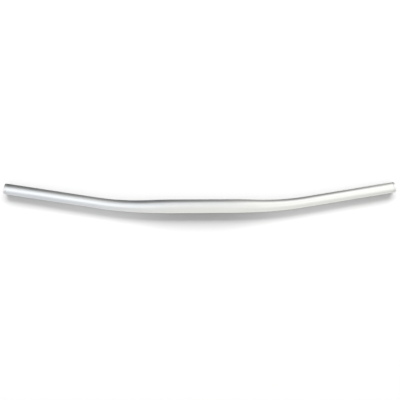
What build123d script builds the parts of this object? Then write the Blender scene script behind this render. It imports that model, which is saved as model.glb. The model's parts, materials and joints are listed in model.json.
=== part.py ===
from build123d import *
import os
from math import cos, radians, sin, tan

# A tapered motorcycle handlebar, lying in its own XY plane. The origin is the centre of the clamp zone,
# on the bar's axis. +X runs along the bar, +Y is the way the ends sweep back, and +Z is square to the bar.
# The tube is swaged down from the clamp zone to the grips and bent once on each side. A turned plug closes
# each end. Two O-rings on its shank hold it in the bore, and it pulls straight out.

# Driving dimensions, in mm and degrees
OVERALL_WIDTH = 820.0  # across the outer edges of both plugs
CLAMP_DIAMETER = 28.6
CLAMP_BORE_DIAMETER = 20.6
CLAMP_ZONE_LENGTH = 140.0  # full diameter, both sides of the centre together
GRIP_DIAMETER = 22.2
GRIP_BORE_DIAMETER = 14.2
TAPER_END = 225.0  # distance along the bar's axis from the centre to the end of each taper
TAPER_SKEW = 0.75  # under 1, the taper narrows sooner and eases out longer
TAPER_SECTIONS = 11
SWEEP_ANGLE = 9.0
BEND_RADIUS = 640.0
BEND_CORNER_X = 167.0  # where the centre's line and the end's line would meet
TUBE_END_CHAMFER = 0.5
BORE_MOUTH_CHAMFER = 0.4

PLUG_HEAD_DIAMETER = 22.0
PLUG_HEAD_LENGTH = 4.0
PLUG_HEAD_ROUNDING = 0.9
PLUG_SEAT_CHAMFER = 0.3
PLUG_DISH_DIAMETER = 14.0
PLUG_DISH_DEPTH = 0.6
PLUG_DISH_CHAMFER = 0.4
PLUG_SHANK_DIAMETER = 13.8
PLUG_SHANK_LENGTH = 18.0
PLUG_SHANK_CHAMFER = 0.8
PLUG_HOLE_DIAMETER = 7.0
PLUG_HOLE_DEPTH = 13.0  # to the start of the drill's point
DRILL_POINT_ANGLE = 118.0
O_RING_DEPTHS = {"outer": 6.0, "inner": 12.0}  # from the head's seat to the middle of each O-ring
O_RING_CORD = 2.1
O_RING_CLEARANCE = 0.05  # between an O-ring and the bore's wall
GROOVE_WIDTH = 2.6

# Sizes that follow from them
clamp_half = CLAMP_ZONE_LENGTH / 2
sweep = radians(SWEEP_ANGLE)
bend_tangent = BEND_RADIUS * tan(sweep / 2)
bend_start = BEND_CORNER_X - bend_tangent
bend_end = bend_start + BEND_RADIUS * sweep
# The plug's outer edge, not its axis, is the widest point, because the end is turned by the sweep.
plug_tip_x = OVERALL_WIDTH / 2 - (PLUG_HEAD_DIAMETER / 2 - PLUG_HEAD_ROUNDING) * sin(sweep)
plug_tip_x -= PLUG_HEAD_ROUNDING * (1 - cos(sweep))
plug_tip = bend_end + (plug_tip_x - BEND_CORNER_X) / cos(sweep) - bend_tangent
tube_end = plug_tip - PLUG_HEAD_LENGTH
o_ring_radius = GRIP_BORE_DIAMETER / 2 - O_RING_CLEARANCE - O_RING_CORD / 2  # to the middle of its cord
groove_radius = o_ring_radius - O_RING_CORD / 2


def place_on_axis(distance):
    """The plane square to the bar's axis at a distance from the centre, its normal pointing outwards."""
    turn = min(max(distance - bend_start, 0), BEND_RADIUS * sweep) / BEND_RADIUS
    straight = max(distance - bend_end, 0)
    x = min(distance, bend_start) + BEND_RADIUS * sin(turn) + straight * cos(turn)
    y = BEND_RADIUS * (1 - cos(turn)) + straight * sin(turn)
    return Plane(origin=(x, y, 0), x_dir=(0, 0, 1), z_dir=(cos(turn), sin(turn), 0))


def diameter_at(distance, clamp_diameter, grip_diameter):
    """The tube's diameter along the taper, level with the cylinders at both of its ends."""
    progress = (distance - clamp_half) / (TAPER_END - clamp_half)
    skewed = progress**TAPER_SKEW
    eased = skewed * skewed * (3 - 2 * skewed)
    return clamp_diameter + (grip_diameter - clamp_diameter) * eased


def cylinder_between(start, end, diameter):
    """A straight round bar along the axis, between two distances from the centre."""
    disc = place_on_axis(start) * Circle(diameter / 2)
    return extrude(disc, amount=end - start)


def tapered_bend(clamp_diameter, grip_diameter):
    """The stretch that narrows while it bends, lofted through round sections square to the axis."""
    step = (TAPER_END - clamp_half) / (TAPER_SECTIONS - 1)
    stations = [clamp_half + step * i for i in range(TAPER_SECTIONS)]
    sections = [place_on_axis(s) * Circle(diameter_at(s, clamp_diameter, grip_diameter) / 2) for s in stations]
    return loft(sections)


def bar_form(clamp_diameter, grip_diameter, length):
    """The whole bar as a solid round form, from one end to the other."""
    half = cylinder_between(0, clamp_half, clamp_diameter)
    half += tapered_bend(clamp_diameter, grip_diameter)
    half += cylinder_between(TAPER_END, length, grip_diameter)
    return half + mirror(half, about=Plane.YZ)


def edge_cutter(radius, size, far_radius):
    """What takes the edge off the tube's right end at a radius, on the side that far_radius is on."""
    side = 1 if far_radius > radius else -1
    profile = Polyline((far_radius, 0), (radius - side * size, 0), (radius, -size), (far_radius, -size), close=True)
    return place_on_axis(tube_end) * revolve(Plane.XZ * make_face(profile), axis=Axis.Z)


def bar_tube():
    """The swaged and bent tube, open at both ends, with its edges broken."""
    tube = bar_form(CLAMP_DIAMETER, GRIP_DIAMETER, tube_end)
    tube -= bar_form(CLAMP_BORE_DIAMETER, GRIP_BORE_DIAMETER, tube_end)
    outer_edge = edge_cutter(GRIP_DIAMETER / 2, TUBE_END_CHAMFER, GRIP_DIAMETER)
    bore_mouth = edge_cutter(GRIP_BORE_DIAMETER / 2, BORE_MOUTH_CHAMFER, 0)
    for cutter in (outer_edge, bore_mouth):
        tube -= cutter
        tube -= mirror(cutter, about=Plane.YZ)
    return tube


def plug_head():
    """The plug's round head, from its seat at z = 0 up to its dished outer face."""
    head = extrude(Circle(PLUG_HEAD_DIAMETER / 2), amount=PLUG_HEAD_LENGTH)
    head = fillet(head.edges().sort_by(Axis.Z)[-1], PLUG_HEAD_ROUNDING)
    head = chamfer(head.edges().sort_by(Axis.Z)[0], PLUG_SEAT_CHAMFER)
    dish = extrude(Plane.XY.offset(PLUG_HEAD_LENGTH) * Circle(PLUG_DISH_DIAMETER / 2), amount=-PLUG_DISH_DEPTH)
    dish = chamfer(dish.edges().sort_by(Axis.Z)[0], PLUG_DISH_CHAMFER)
    return head - dish


def end_plug():
    """A turned plug on the Z axis: a head, and a drilled shank with two O-ring grooves."""
    shank = extrude(Circle(PLUG_SHANK_DIAMETER / 2), amount=-PLUG_SHANK_LENGTH)
    shank = chamfer(shank.edges().sort_by(Axis.Z)[0], PLUG_SHANK_CHAMFER)
    for depth in O_RING_DEPTHS.values():
        wall = Circle(PLUG_SHANK_DIAMETER) - Circle(groove_radius)
        shank -= extrude(Plane.XY.offset(-depth - GROOVE_WIDTH / 2) * wall, amount=GROOVE_WIDTH)
    hole_radius = PLUG_HOLE_DIAMETER / 2
    hole_end = PLUG_HOLE_DEPTH - PLUG_SHANK_LENGTH
    point = hole_end + hole_radius / tan(radians(DRILL_POINT_ANGLE / 2))
    bottom = -PLUG_SHANK_LENGTH
    outline = Polyline((0, bottom), (hole_radius, bottom), (hole_radius, hole_end), (0, point), close=True)
    hole = revolve(Plane.XZ * make_face(outline), axis=Axis.Z)
    return plug_head() + shank - hole


def o_ring(depth):
    """A rubber ring on the Z axis, in its groove."""
    return Pos(0, 0, -depth) * Torus(o_ring_radius, O_RING_CORD / 2)


end_pieces = {"end_plug": end_plug()}
for place, depth in O_RING_DEPTHS.items():
    end_pieces[f"{place}_o_ring"] = o_ring(depth)

parts = {"bar_tube": bar_tube()}
for name, piece in end_pieces.items():
    right = place_on_axis(tube_end) * piece
    parts[f"right_{name}"] = right
    parts[f"left_{name}"] = mirror(right, about=Plane.YZ)

os.makedirs("parts", exist_ok=True)
for name, shape in parts.items():
    export_step(shape, f"parts/{name}.step")
    size = shape.bounding_box().size
    print(f"{name}: {size.X:.2f} x {size.Y:.2f} x {size.Z:.2f} mm, {shape.volume / 1000:.3f} cm3")

print(f"bend from {bend_start:.2f} to {bend_end:.2f}, tube end at {tube_end:.2f} along the axis")
print(f"end axis leaves the tube at {tuple(place_on_axis(tube_end).origin)}")
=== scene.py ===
import json
from math import asin, atan2, cos, pi, radians, sin, tan

import bmesh
import bpy
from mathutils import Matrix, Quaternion, Vector


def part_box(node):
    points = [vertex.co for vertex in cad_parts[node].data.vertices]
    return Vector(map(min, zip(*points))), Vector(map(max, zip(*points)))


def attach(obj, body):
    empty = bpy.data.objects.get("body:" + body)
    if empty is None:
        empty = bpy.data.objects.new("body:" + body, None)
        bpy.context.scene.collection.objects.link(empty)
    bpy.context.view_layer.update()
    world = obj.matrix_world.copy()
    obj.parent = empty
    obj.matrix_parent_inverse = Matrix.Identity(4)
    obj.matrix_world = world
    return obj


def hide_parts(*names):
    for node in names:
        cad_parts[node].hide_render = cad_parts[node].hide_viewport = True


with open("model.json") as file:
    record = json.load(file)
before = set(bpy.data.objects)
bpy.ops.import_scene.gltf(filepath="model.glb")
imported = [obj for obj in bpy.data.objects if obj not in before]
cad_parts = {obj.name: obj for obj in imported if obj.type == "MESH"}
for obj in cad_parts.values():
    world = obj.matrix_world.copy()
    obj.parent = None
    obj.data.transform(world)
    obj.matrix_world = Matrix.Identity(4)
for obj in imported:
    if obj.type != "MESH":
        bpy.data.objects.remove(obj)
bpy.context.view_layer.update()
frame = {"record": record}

# A tapered motorcycle handlebar: one swaged and bent aluminium tube, and in each of its ends a turned plug
# on two O-rings. Everything is in metres, in the frame's own axes: X runs along the bar, +Y is the way its
# ends sweep back, and Z is up.

MM = 0.001
mounts = {m["name"]: m for m in frame["record"]["mounts"]}

# Sizes from the frame
CLAMP_RADIUS = mounts["clamp_zone"]["dims"]["r_mm"] * MM
CLAMP_HALF = mounts["clamp_zone"]["dims"]["length_mm"] * MM / 2
GRIP_RADIUS = mounts["right_grip"]["dims"]["r_mm"] * MM
GRIP_HALF = mounts["right_grip"]["dims"]["length_mm"] * MM / 2
GRIP_MIDDLE = Vector(mounts["right_grip"]["pos_m"])
GRIP_AXIS = Vector(mounts["right_grip"]["axis"]).normalized()
HEAD_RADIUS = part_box("right_end_plug")[1].z
O_RING_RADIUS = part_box("right_outer_o_ring")[1].z

# The tube's other sizes, as designed
BEND_RADIUS = 0.640
TAPER_SKEW = 0.75
CLAMP_BORE_RADIUS = 10.3 * MM
GRIP_BORE_RADIUS = 7.1 * MM
TUBE_END_CHAMFER = 0.5 * MM
BORE_MOUTH_CHAMFER = 0.4 * MM
EDGE_ROUNDING = 0.12 * MM

# The plug's other sizes, as designed
HEAD_LENGTH = 4.0 * MM
HEAD_ROUNDING = 0.9 * MM
SEAT_CHAMFER = 0.3 * MM
DISH_RADIUS = 7.0 * MM
DISH_DEPTH = 0.6 * MM
DISH_CHAMFER = 0.4 * MM
SHANK_LENGTH = 18.0 * MM
SHANK_RADIUS = 6.9 * MM
SHANK_CHAMFER = 0.8 * MM
HOLE_RADIUS = 3.5 * MM
HOLE_DEPTH = 13.0 * MM
DRILL_POINT_HALF_ANGLE = radians(59)
O_RING_DEPTHS = {"outer": 6.0 * MM, "inner": 12.0 * MM}
O_RING_CORD = 2.1 * MM
GROOVE_RADIUS = O_RING_RADIUS - O_RING_CORD
GROOVE_WIDTH = 2.6 * MM
TURNED_EDGE = 0.08 * MM
PARTING_LINE_HEIGHT = 0.03 * MM
PARTING_LINE_WIDTH = 0.14 * MM

# How finely the skins are divided
TUBE_SEGMENTS = 128
PLUG_SEGMENTS = 96
CORD_SEGMENTS = 28
TAPER_STEP = 3.0 * MM
BORE_TAPER_STEP = 6.0 * MM
STRAIGHT_STEP = 10.0 * MM
TUBE_EDGE_STEPS = 4
TURNED_EDGE_STEPS = 3
HEAD_EDGE_STEPS = 8
SHARP_ANGLE = radians(32)

# The bar's axis: straight through the clamp zone, one arc, then straight along the grip
sweep = atan2(GRIP_AXIS.y, GRIP_AXIS.x)
bend_tangent = BEND_RADIUS * tan(sweep / 2)
corner_x = GRIP_MIDDLE.x - GRIP_MIDDLE.y / tan(sweep)
bend_start = corner_x - bend_tangent
bend_end = bend_start + BEND_RADIUS * sweep
grip_middle = bend_end + (GRIP_MIDDLE.x - corner_x) / cos(sweep) - bend_tangent
taper_end = grip_middle - GRIP_HALF
tube_end = grip_middle + GRIP_HALF + TUBE_END_CHAMFER


def axis_frame(distance):
    """The axis's point at a signed distance from the centre, and the way square to it in the XY plane."""
    side = -1 if distance < 0 else 1
    length = abs(distance)
    turn = min(max(length - bend_start, 0), BEND_RADIUS * sweep) / BEND_RADIUS
    straight = max(length - bend_end, 0)
    x = min(length, bend_start) + BEND_RADIUS * sin(turn) + straight * cos(turn)
    y = BEND_RADIUS * (1 - cos(turn)) + straight * sin(turn)
    return Vector((side * x, y, 0)), Vector((-side * sin(turn), cos(turn), 0))


def tapered(distance, clamp_radius, grip_radius):
    """The tube's outer or inner radius at a signed distance from the centre."""
    progress = (abs(distance) - CLAMP_HALF) / (taper_end - CLAMP_HALF)
    skewed = min(max(progress, 0), 1) ** TAPER_SKEW
    return clamp_radius + (grip_radius - clamp_radius) * skewed * skewed * (3 - 2 * skewed)


def spaced(start, end, step):
    """Evenly spaced distances from start up to, but without, end."""
    count = max(1, round(abs(end - start) / step))
    return [start + (end - start) * i / count for i in range(count)]


def rounded(corner_before, corner, corner_after, radius, steps):
    """Points that round the corner of an outline, by a curve that meets both of its sides."""
    into = (corner_before - corner).normalized() * radius
    out = (corner_after - corner).normalized() * radius
    points = []
    for i in range(steps + 1):
        t = i / steps
        points.append(corner + into * (1 - t) ** 2 + out * t**2)
    return points


def skin(name, outline, segments, closed, materials):
    """A round skin along the bar's axis. The outline is a list of (distance, radius, material index).

    Each point of the mesh also keeps where it would be on a straight bar, for the materials."""
    mesh = bpy.data.meshes.new(name)
    shape = bmesh.new()
    unbent = shape.verts.layers.float_vector.new("unbent")
    rings = []
    for distance, radius, _ in outline:
        centre, sideways = axis_frame(distance)
        ring = []
        for i in range(segments if radius > 0 else 1):
            angle = 2 * pi * i / segments
            across, up = radius * cos(angle), radius * sin(angle)
            vertex = shape.verts.new(centre + sideways * across + Vector((0, 0, up)))
            vertex[unbent] = Vector((distance, across, up))
            ring.append(vertex)
        rings.append(ring)
    pairs = list(zip(rings, rings[1:] + rings[:1]))
    for index, (ring, after) in enumerate(pairs if closed else pairs[:-1]):
        for i in range(segments):
            j = (i + 1) % segments
            near = [ring[i % len(ring)], ring[j % len(ring)]]
            far = [after[j % len(after)], after[i % len(after)]]
            face = shape.faces.new(dict.fromkeys(near + far))
            face.material_index = outline[index][2]
            face.smooth = True
    bmesh.ops.recalc_face_normals(shape, faces=shape.faces)
    shape.to_mesh(mesh)
    shape.free()
    for material in materials:
        mesh.materials.append(material)
    piece = bpy.data.objects.new(name, mesh)
    bpy.context.scene.collection.objects.link(piece)
    mesh.set_sharp_from_angle(angle=SHARP_ANGLE)
    return piece


# Materials. A noise's scale is how many of its cells there are in a metre.

BROAD_LINE_SCALE = (5, 700, 700)  # along the bar, and both ways across it
FINE_LINE_SCALE = (22, 3200, 3200)
RING_SCALE = 7000.0
CLOUD_SCALE = 24.0
GRAIN_SCALE = 2600.0
FINE_DETAIL = 3.0
NOISE_SPAN = (0.3, 0.7)  # where most of a noise's values lie
LINE_SPAN = (0.35, 0.65)
BLOOM_SPAN = (0.35, 0.75)
LINE_TONE = 0.03
CLOUD_TONE = 0.012
LINE_GLOSS = 0.04
GRAIN_SHARE = 0.6  # the grain's height, next to the lines'
METAL_BUMP = 0.3
BARE_METAL = (0.99, 0.995, 1.0)
BORE_METAL = (1.0, 0.995, 0.985)
PLUG_METAL = (0.985, 0.99, 1.0)

RUBBER_GRAIN_SCALE = 3500.0
RUBBER_BLOOM_SCALE = 350.0
RUBBER_DARK = (0.016, 0.016, 0.017, 1)
RUBBER_PALE = (0.032, 0.032, 0.034, 1)
RUBBER_ROUGHNESS = (0.42, 0.6)
RUBBER_BUMP = 0.35
RUBBER_GRAIN_DEPTH = 0.02 * MM


class Nodes:
    """Adds nodes to a material's or a world's tree, each by one short call."""

    def __init__(self, owner):
        owner.use_nodes = True
        self.tree = owner.node_tree
        self.tree.nodes.clear()

    def add(self, kind, inputs=None, **settings):
        node = self.tree.nodes.new(kind)
        for key, value in settings.items():
            setattr(node, key, value)
        for key, value in (inputs or {}).items():
            if isinstance(value, bpy.types.NodeSocket):
                self.tree.links.new(value, node.inputs[key])
            else:
                node.inputs[key].default_value = value
        return node

    def math(self, operation, a, b=0.0):
        return self.add("ShaderNodeMath", {0: a, 1: b}, operation=operation).outputs[0]

    def ranged(self, value, span, onto=(0.0, 1.0), smooth=False):
        """The value, mapped from one span onto another and kept inside it."""
        kind = "SMOOTHSTEP" if smooth else "LINEAR"
        inputs = {"Value": value}
        inputs["From Min"], inputs["From Max"] = span
        inputs["To Min"], inputs["To Max"] = onto
        return self.add("ShaderNodeMapRange", inputs, interpolation_type=kind).outputs["Result"]

    def dot(self, a, b):
        return self.add("ShaderNodeVectorMath", {0: a, 1: b}, operation="DOT_PRODUCT").outputs["Value"]

    def scaled(self, place, scale):
        return self.add("ShaderNodeMapping", {"Vector": place, "Scale": scale}).outputs["Vector"]

    def noise(self, place, scale, detail=2.0):
        inputs = {"Vector": place, "Scale": scale, "Detail": detail}
        return self.add("ShaderNodeTexNoise", inputs).outputs["Fac"]

    def bump(self, height, strength, depth):
        inputs = {"Strength": strength, "Distance": depth, "Height": height}
        return self.add("ShaderNodeBump", inputs).outputs["Normal"]

    def mix_values(self, factor, a, b):
        inputs = {"Factor": factor, 2: a, 3: b}
        return self.add("ShaderNodeMix", inputs, data_type="FLOAT").outputs[0]

    def mix_colours(self, factor, a, b):
        inputs = {"Factor": factor, 6: a, 7: b}
        return self.add("ShaderNodeMix", inputs, data_type="RGBA").outputs[2]

    def surface(self, inputs):
        """The shader that all of the object's materials end in."""
        shader = self.add("ShaderNodeBsdfPrincipled", inputs)
        self.add("ShaderNodeOutputMaterial", {"Surface": shader.outputs["BSDF"]})


def drawn_lines(nodes, place):
    """Faint scratches that follow the tube round its bends, from drawing and polishing it lengthwise."""
    broad = nodes.noise(nodes.scaled(place, BROAD_LINE_SCALE), 1.0, FINE_DETAIL)
    fine = nodes.noise(nodes.scaled(place, FINE_LINE_SCALE), 1.0)
    return nodes.math("MULTIPLY", nodes.math("ADD", broad, fine), 0.5)


def turned_rings(nodes, place):
    """Fine rings that a lathe leaves, round the axis on the sides and as circles on the ends."""
    distance = nodes.add("ShaderNodeSeparateXYZ", {"Vector": place}).outputs["X"]
    across = nodes.scaled(place, (0, 1, 1))
    radius = nodes.add("ShaderNodeVectorMath", {0: across}, operation="LENGTH").outputs["Value"]
    rings = nodes.add("ShaderNodeCombineXYZ", {"X": distance, "Y": radius}).outputs["Vector"]
    return nodes.noise(rings, RING_SCALE, FINE_DETAIL)


def metal(name, marks, level, tint, roughness, depth):
    """Bare or anodised aluminium: tool marks, cloudy tone, and a fine blasted grain."""
    material = bpy.data.materials.new(name)
    nodes = Nodes(material)
    place = nodes.add("ShaderNodeAttribute", attribute_name="unbent").outputs["Vector"]
    lines = marks(nodes, place)
    clouds = nodes.noise(place, CLOUD_SCALE, FINE_DETAIL)
    grain = nodes.noise(place, GRAIN_SCALE)
    line_tone = nodes.ranged(lines, LINE_SPAN, (-LINE_TONE, LINE_TONE))
    cloud_tone = nodes.ranged(clouds, NOISE_SPAN, (-CLOUD_TONE, CLOUD_TONE))
    shade = nodes.math("ADD", nodes.math("ADD", line_tone, cloud_tone), level)
    line_gloss = nodes.ranged(lines, NOISE_SPAN, (-LINE_GLOSS, LINE_GLOSS))
    height = nodes.math("ADD", nodes.math("MULTIPLY", grain, GRAIN_SHARE), lines)
    nodes.surface({
        "Base Color": nodes.mix_colours(shade, (0, 0, 0, 1), (*tint, 1)),
        "Metallic": 1.0,
        "Roughness": nodes.math("ADD", line_gloss, nodes.ranged(clouds, NOISE_SPAN, roughness)),
        "Normal": nodes.bump(height, METAL_BUMP, depth),
    })
    return material


def moulded_rubber():
    """Black rubber with a fine grain, a little paler and duller where it has bloomed."""
    material = bpy.data.materials.new("black_rubber")
    nodes = Nodes(material)
    place = nodes.add("ShaderNodeTexCoord").outputs["Object"]
    grain = nodes.noise(place, RUBBER_GRAIN_SCALE, FINE_DETAIL)
    bloom = nodes.noise(place, RUBBER_BLOOM_SCALE, FINE_DETAIL)
    nodes.surface({
        "Base Color": nodes.mix_colours(nodes.ranged(bloom, BLOOM_SPAN), RUBBER_DARK, RUBBER_PALE),
        "Roughness": nodes.ranged(bloom, NOISE_SPAN, RUBBER_ROUGHNESS),
        "Normal": nodes.bump(grain, RUBBER_BUMP, RUBBER_GRAIN_DEPTH),
    })
    return material


# Each metal has its tool marks, brightness, tint, span of roughness and depth of relief.
satin_tube = metal("satin_aluminium", drawn_lines, 0.85, BARE_METAL, (0.29, 0.35), 0.03 * MM)
cut_edge = metal("machined_edge", turned_rings, 0.88, BARE_METAL, (0.24, 0.3), 0.02 * MM)
drawn_bore = metal("drawn_bore", drawn_lines, 0.62, BORE_METAL, (0.42, 0.52), 0.05 * MM)
turned_plug = metal("turned_aluminium", turned_rings, 0.83, PLUG_METAL, (0.3, 0.36), 0.02 * MM)
black_rubber = moulded_rubber()


# Pieces

def bar_tube():
    """The tube's whole skin: its outside, then the cut right end, the bore, and the cut left end."""
    outside, cut_end, bore = range(3)  # the materials

    def wall(start, end, step, radii, material):
        return [(d, tapered(d, *radii), material) for d in spaced(start, end, step)]

    outer, inner = (CLAMP_RADIUS, GRIP_RADIUS), (CLAMP_BORE_RADIUS, GRIP_BORE_RADIUS)
    lip, mouth = tube_end - TUBE_END_CHAMFER, tube_end - BORE_MOUTH_CHAMFER
    corners = [
        Vector((taper_end, GRIP_RADIUS)),
        Vector((lip, GRIP_RADIUS)),
        Vector((tube_end, GRIP_RADIUS - TUBE_END_CHAMFER)),
        Vector((tube_end, GRIP_BORE_RADIUS + BORE_MOUTH_CHAMFER)),
        Vector((mouth, GRIP_BORE_RADIUS)),
        Vector((taper_end, GRIP_BORE_RADIUS)),
    ]
    right_end = []
    for before, corner, after in zip(corners, corners[1:], corners[2:]):
        edge = rounded(before, corner, after, EDGE_ROUNDING, TUBE_EDGE_STEPS)
        right_end += [(p.x, p.y, cut_end) for p in edge]
    left_end = [(-d, r, cut_end) for d, r, _ in reversed(right_end)]

    # The last point of a cut end is also the first of the next wall, which leaves out its own.
    outline = wall(-lip + EDGE_ROUNDING, -taper_end, STRAIGHT_STEP, outer, outside)[1:]
    outline += wall(-taper_end, -CLAMP_HALF, TAPER_STEP, outer, outside)
    outline += wall(-CLAMP_HALF, CLAMP_HALF, STRAIGHT_STEP, outer, outside)
    outline += wall(CLAMP_HALF, taper_end, TAPER_STEP, outer, outside)
    outline += wall(taper_end, lip - EDGE_ROUNDING, STRAIGHT_STEP, outer, outside)
    outline += right_end[:-1] + [(*right_end[-1][:2], bore)]
    outline += wall(mouth - EDGE_ROUNDING, taper_end, STRAIGHT_STEP, inner, bore)[1:]
    outline += wall(taper_end, CLAMP_HALF, BORE_TAPER_STEP, inner, bore)
    outline += wall(CLAMP_HALF, -CLAMP_HALF, STRAIGHT_STEP, inner, bore)
    outline += wall(-CLAMP_HALF, -taper_end, BORE_TAPER_STEP, inner, bore)
    outline += wall(-taper_end, -mouth + EDGE_ROUNDING, STRAIGHT_STEP, inner, bore)
    outline += left_end[:-1] + [(*left_end[-1][:2], outside)]
    piece = skin("tube", outline, TUBE_SEGMENTS, True, [satin_tube, cut_edge, drawn_bore])
    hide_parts("bar_tube")
    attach(piece, "bar")


def end_plug(side_name, side):
    """A turned plug: a dished head outside the tube, and in its bore a drilled shank with two grooves."""
    dish_floor = HEAD_LENGTH - DISH_DEPTH
    hole_end = HOLE_DEPTH - SHANK_LENGTH
    corners = [
        (Vector((dish_floor, DISH_RADIUS - DISH_CHAMFER)), TURNED_EDGE),
        (Vector((dish_floor + DISH_CHAMFER, DISH_RADIUS)), TURNED_EDGE),
        (Vector((HEAD_LENGTH, DISH_RADIUS)), TURNED_EDGE),
        (Vector((HEAD_LENGTH, HEAD_RADIUS)), HEAD_ROUNDING),
        (Vector((SEAT_CHAMFER, HEAD_RADIUS)), TURNED_EDGE),
        (Vector((0, HEAD_RADIUS - SEAT_CHAMFER)), TURNED_EDGE),
        (Vector((0, SHANK_RADIUS)), TURNED_EDGE),
    ]
    for depth in O_RING_DEPTHS.values():
        top, bottom = GROOVE_WIDTH / 2 - depth, -GROOVE_WIDTH / 2 - depth
        groove = [(top, SHANK_RADIUS), (top, GROOVE_RADIUS)]
        groove += [(bottom, GROOVE_RADIUS), (bottom, SHANK_RADIUS)]
        corners += [(Vector(place), TURNED_EDGE) for place in groove]
    corners += [
        (Vector((SHANK_CHAMFER - SHANK_LENGTH, SHANK_RADIUS)), TURNED_EDGE),
        (Vector((-SHANK_LENGTH, SHANK_RADIUS - SHANK_CHAMFER)), TURNED_EDGE),
        (Vector((-SHANK_LENGTH, HOLE_RADIUS)), TURNED_EDGE),
        (Vector((hole_end, HOLE_RADIUS)), TURNED_EDGE),
    ]
    start = Vector((dish_floor, 0))
    end = Vector((hole_end + HOLE_RADIUS / tan(DRILL_POINT_HALF_ANGLE), 0))
    path = [start] + [corner for corner, _ in corners] + [end]
    points = [start]
    for before, (corner, rounding), after in zip(path, corners, path[2:]):
        steps = HEAD_EDGE_STEPS if rounding == HEAD_ROUNDING else TURNED_EDGE_STEPS
        points += rounded(before, corner, after, rounding, steps)
    points.append(end)
    outline = [(side * (tube_end + p.x), p.y, 0) for p in points]
    piece = skin(f"{side_name}_plug", outline, PLUG_SEGMENTS, False, [turned_plug])
    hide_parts(f"{side_name}_end_plug")
    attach(piece, f"{side_name}_plug")


def o_ring(side_name, side, place_name, depth):
    """A moulded rubber ring, with the fine raised line round its outside that its mould leaves."""
    cord = O_RING_CORD / 2
    middle = O_RING_RADIUS - cord
    half_line = PARTING_LINE_WIDTH / 2
    section = [(-half_line, cord), (0, cord + PARTING_LINE_HEIGHT), (half_line, cord)]
    for i in range(1, CORD_SEGMENTS):
        angle = 2 * pi * i / CORD_SEGMENTS
        section.append((cord * sin(angle), cord * cos(angle)))
    outline = [(side * (tube_end - depth + along), middle + outwards, 0) for along, outwards in section]
    piece = skin(f"{side_name}_{place_name}_ring", outline, PLUG_SEGMENTS, True, [black_rubber])
    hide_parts(f"{side_name}_{place_name}_o_ring")
    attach(piece, f"{side_name}_plug")


bar_tube()
for side_name, side in (("left", -1), ("right", 1)):
    end_plug(side_name, side)
    for place_name, depth in O_RING_DEPTHS.items():
        o_ring(side_name, side, place_name, depth)


# The stage: a pale floor, a key light from behind and above, panels round the bar, and the camera over it.
# A bar with swept ends rests on its thick middle and on the lower edge of each end, and the floor leans so
# that it touches them.

FLOOR_HALF = 1.0
FLOOR_REFLECTANCE = 0.39
FLOOR_LEAN = asin((CLAMP_RADIUS - GRIP_RADIUS) / axis_frame(tube_end - TUBE_END_CHAMFER)[0].y)

WHITE = (1.0, 1.0, 1.0, 1)
COOL = (0.918, 0.95, 1.0, 1)
WARM = (1.0, 0.997, 0.94, 1)

KEY_ELEVATION = radians(43)
KEY_DISTANCE = 48.0  # so far off that its light is the same all over the floor
KEY_SIZE = (64.0, 22.0)
KEY_POWER = 79500.0
FILL_PLACE = (0.3, -0.12, 0.06)
FILL_SIZE = (0.36, 0.08)
FILL_POWER = 0.25

# The panels that the metal reflects. Those overhead face straight down, and those behind face the bar.
OVERHEAD = 0.5
PANELS = {  # place, what it faces, size, power, colour
    "left_panel": ((-0.49, -0.02, OVERHEAD), (-0.49, -0.02, 0), (0.6, 0.5), 0.31, COOL),
    "right_panel": ((0.51, 0.15, OVERHEAD), (0.51, 0.15, 0), (0.58, 0.98), 0.44, WARM),
    "middle_panel": ((-0.01, 0.07, OVERHEAD), (-0.01, 0.07, 0), (0.26, 0.36), 0.028, WHITE),
    "right_back_panel": ((0.37, 0.37, 0.2), (0.37, 0, 0), (0.42, 0.4), 0.15, WARM),
    "middle_back_panel": ((-0.04, 0.3, 0.16), (-0.04, 0, 0), (0.26, 0.3), 0.035, COOL),
}

# The surround that the metal reflects between the panels. A way is a direction from the bar. An edge is the
# span over which one part of the surround turns into the next. A pair of lights goes from left to right, or
# from low to high, over its own span.
RIGHT, UP = (1, 0, 0), (0, 0, 1)
UPPER_LIGHT = 0.95
LOW_FRONT_WAY, LOW_FRONT_EDGE = (0, -0.7, -0.7), (-0.8, 0.35)
LOW_FRONT_LIGHTS, LOW_FRONT_SPAN = (0.8, 0.93), (-0.2, 0.0)
SCREEN_WAY, SCREEN_EDGE = (-1.2, 0.9, -0.42), (0.44, 0.76)
SCREEN_LIGHTS, SCREEN_SPAN = (0.03, 0.5), (-0.18, 0.26)
SIDE_EDGE = (0.4, 0.65)
SIDE_LIGHTS, SIDE_SPAN = (0.14, 1.1), (0.0, 0.45)
BEHIND_LEFT_WAY, BEHIND_LEFT_EDGE = (-0.69, 0.63, -0.36), (0.8, 0.96)
BEHIND_LEFT_LIGHT = 0.55
WARM_WAY, WARM_SPAN = (1, -0.12, 0), (-0.2, 0.1)

CAMERA_PLACE = Vector((-0.0695, 0.0129, 1.5))
CAMERA_TILT = radians(2.5)  # from straight down towards +X
CAMERA_ROLL = radians(0.3)
CAMERA_LENS = 64.48
SENSOR_WIDTH = 36.0


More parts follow.
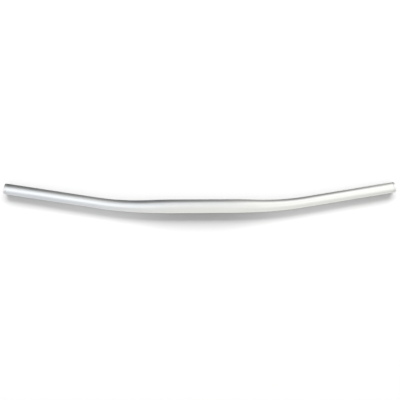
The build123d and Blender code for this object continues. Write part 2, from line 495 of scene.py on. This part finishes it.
def studio_floor():
    """A pale floor that is see-through from below, so that the bar's underside can be looked at too."""
    material = bpy.data.materials.new("studio_floor")
    nodes = Nodes(material)
    pale = (FLOOR_REFLECTANCE, FLOOR_REFLECTANCE, FLOOR_REFLECTANCE, 1)
    top = nodes.add("ShaderNodeBsdfDiffuse", {"Color": pale}).outputs["BSDF"]
    below = nodes.add("ShaderNodeBsdfTransparent").outputs["BSDF"]
    from_below = nodes.add("ShaderNodeNewGeometry").outputs["Backfacing"]
    shader = nodes.add("ShaderNodeMixShader", {0: from_below, 1: top, 2: below}).outputs["Shader"]
    nodes.add("ShaderNodeOutputMaterial", {"Surface": shader})
    up = Vector((0, -sin(FLOOR_LEAN), cos(FLOOR_LEAN)))
    away = Vector((0, cos(FLOOR_LEAN), sin(FLOOR_LEAN)))
    middle = -up * CLAMP_RADIUS
    corners = []
    for x, y in ((-1, -1), (1, -1), (1, 1), (-1, 1)):
        corners.append(middle + Vector((x, 0, 0)) * FLOOR_HALF + away * y * FLOOR_HALF)
    mesh = bpy.data.meshes.new("floor")
    mesh.from_pydata(corners, [], [(0, 1, 2, 3)])
    mesh.materials.append(material)
    floor = bpy.data.objects.new("floor", mesh)
    bpy.context.scene.collection.objects.link(floor)
    floor.visible_glossy = False


def studio_world():
    """The white background that the camera sees, and the surround that lights the object in its place.

    Near the middle the surround is pale, warmer towards the right, with a screen low down behind that is
    darkest at the left. Out along the bar it is neutral, bright above and dark below, with a paler patch
    low down behind the left end."""
    world = bpy.data.worlds.new("studio")
    bpy.context.scene.world = world
    nodes = Nodes(world)
    direction = nodes.add("ShaderNodeTexCoord").outputs["Generated"]
    rightwards = nodes.dot(direction, RIGHT)

    low_front = nodes.ranged(nodes.dot(direction, LOW_FRONT_WAY), LOW_FRONT_EDGE, smooth=True)
    low_front_light = nodes.ranged(rightwards, LOW_FRONT_SPAN, LOW_FRONT_LIGHTS)
    pale = nodes.mix_values(low_front, UPPER_LIGHT, low_front_light)
    off_screen = nodes.ranged(nodes.dot(direction, SCREEN_WAY), SCREEN_EDGE, (1.0, 0.0), True)
    screen_light = nodes.ranged(rightwards, SCREEN_SPAN, SCREEN_LIGHTS)
    near_middle = nodes.mix_values(off_screen, screen_light, pale)

    behind_left = nodes.dot(direction, BEHIND_LEFT_WAY)
    patch = nodes.ranged(behind_left, BEHIND_LEFT_EDGE, (0.0, BEHIND_LEFT_LIGHT), True)
    rising = nodes.ranged(nodes.dot(direction, UP), SIDE_SPAN, SIDE_LIGHTS, True)
    out_along = nodes.math("MAXIMUM", rising, patch)

    sideways = nodes.ranged(nodes.math("ABSOLUTE", rightwards), SIDE_EDGE, smooth=True)
    light = nodes.mix_values(sideways, near_middle, out_along)
    warmth = nodes.ranged(nodes.dot(direction, WARM_WAY), WARM_SPAN, smooth=True)
    tint = nodes.mix_colours(sideways, nodes.mix_colours(warmth, COOL, WARM), WHITE)

    reflected = nodes.add("ShaderNodeBackground", {"Color": tint, "Strength": light})
    seen = nodes.add("ShaderNodeBackground", {"Color": WHITE, "Strength": 1.0})
    camera_ray = nodes.add("ShaderNodeLightPath").outputs["Is Camera Ray"]
    choice = {0: camera_ray, 1: reflected.outputs["Background"], 2: seen.outputs["Background"]}
    shader = nodes.add("ShaderNodeMixShader", choice).outputs["Shader"]
    nodes.add("ShaderNodeOutputWorld", {"Surface": shader})


def soft_light(name, place, aim, size, power, colour=WHITE, in_reflections=False):
    """A rectangular lamp, which the camera never sees, and metal reflects only with in_reflections."""
    light = bpy.data.lights.new(name, "AREA")
    light.shape = "RECTANGLE"
    light.size, light.size_y = size
    light.energy = power
    light.color = colour[:3]
    lamp = bpy.data.objects.new(name, light)
    lamp.location = place
    lamp.rotation_mode = "QUATERNION"
    lamp.rotation_quaternion = (Vector(aim) - Vector(place)).to_track_quat("-Z", "Y")
    lamp.visible_glossy = in_reflections
    lamp.visible_camera = False
    bpy.context.scene.collection.objects.link(lamp)


def studio_lights():
    """A key from behind that casts the shadow forwards, panels for the metal, and low fills in front."""
    key_place = Vector((0, cos(KEY_ELEVATION), sin(KEY_ELEVATION))) * KEY_DISTANCE
    soft_light("key", key_place, (0, 0, 0), KEY_SIZE, KEY_POWER)
    for name, settings in PANELS.items():
        soft_light(name, *settings, in_reflections=True)
    for name, side in (("left_fill", -1), ("right_fill", 1)):
        place = (side * FILL_PLACE[0], *FILL_PLACE[1:])
        soft_light(name, place, (side * GRIP_MIDDLE.x, 0, 0), FILL_SIZE, FILL_POWER)


def studio_camera():
    """The camera, over the bar and looking down on it."""
    data = bpy.data.cameras.new("camera")
    data.lens = CAMERA_LENS
    data.sensor_width = SENSOR_WIDTH
    camera = bpy.data.objects.new("camera", data)
    camera.location = CAMERA_PLACE
    camera.rotation_mode = "QUATERNION"
    tilt, roll = Quaternion((0, 1, 0), -CAMERA_TILT), Quaternion((0, 0, 1), -CAMERA_ROLL)
    camera.rotation_quaternion = tilt @ roll
    bpy.context.scene.collection.objects.link(camera)
    bpy.context.scene.camera = camera


studio_floor()
studio_world()
studio_lights()
studio_camera()
bpy.context.scene.view_settings.view_transform = "Standard"
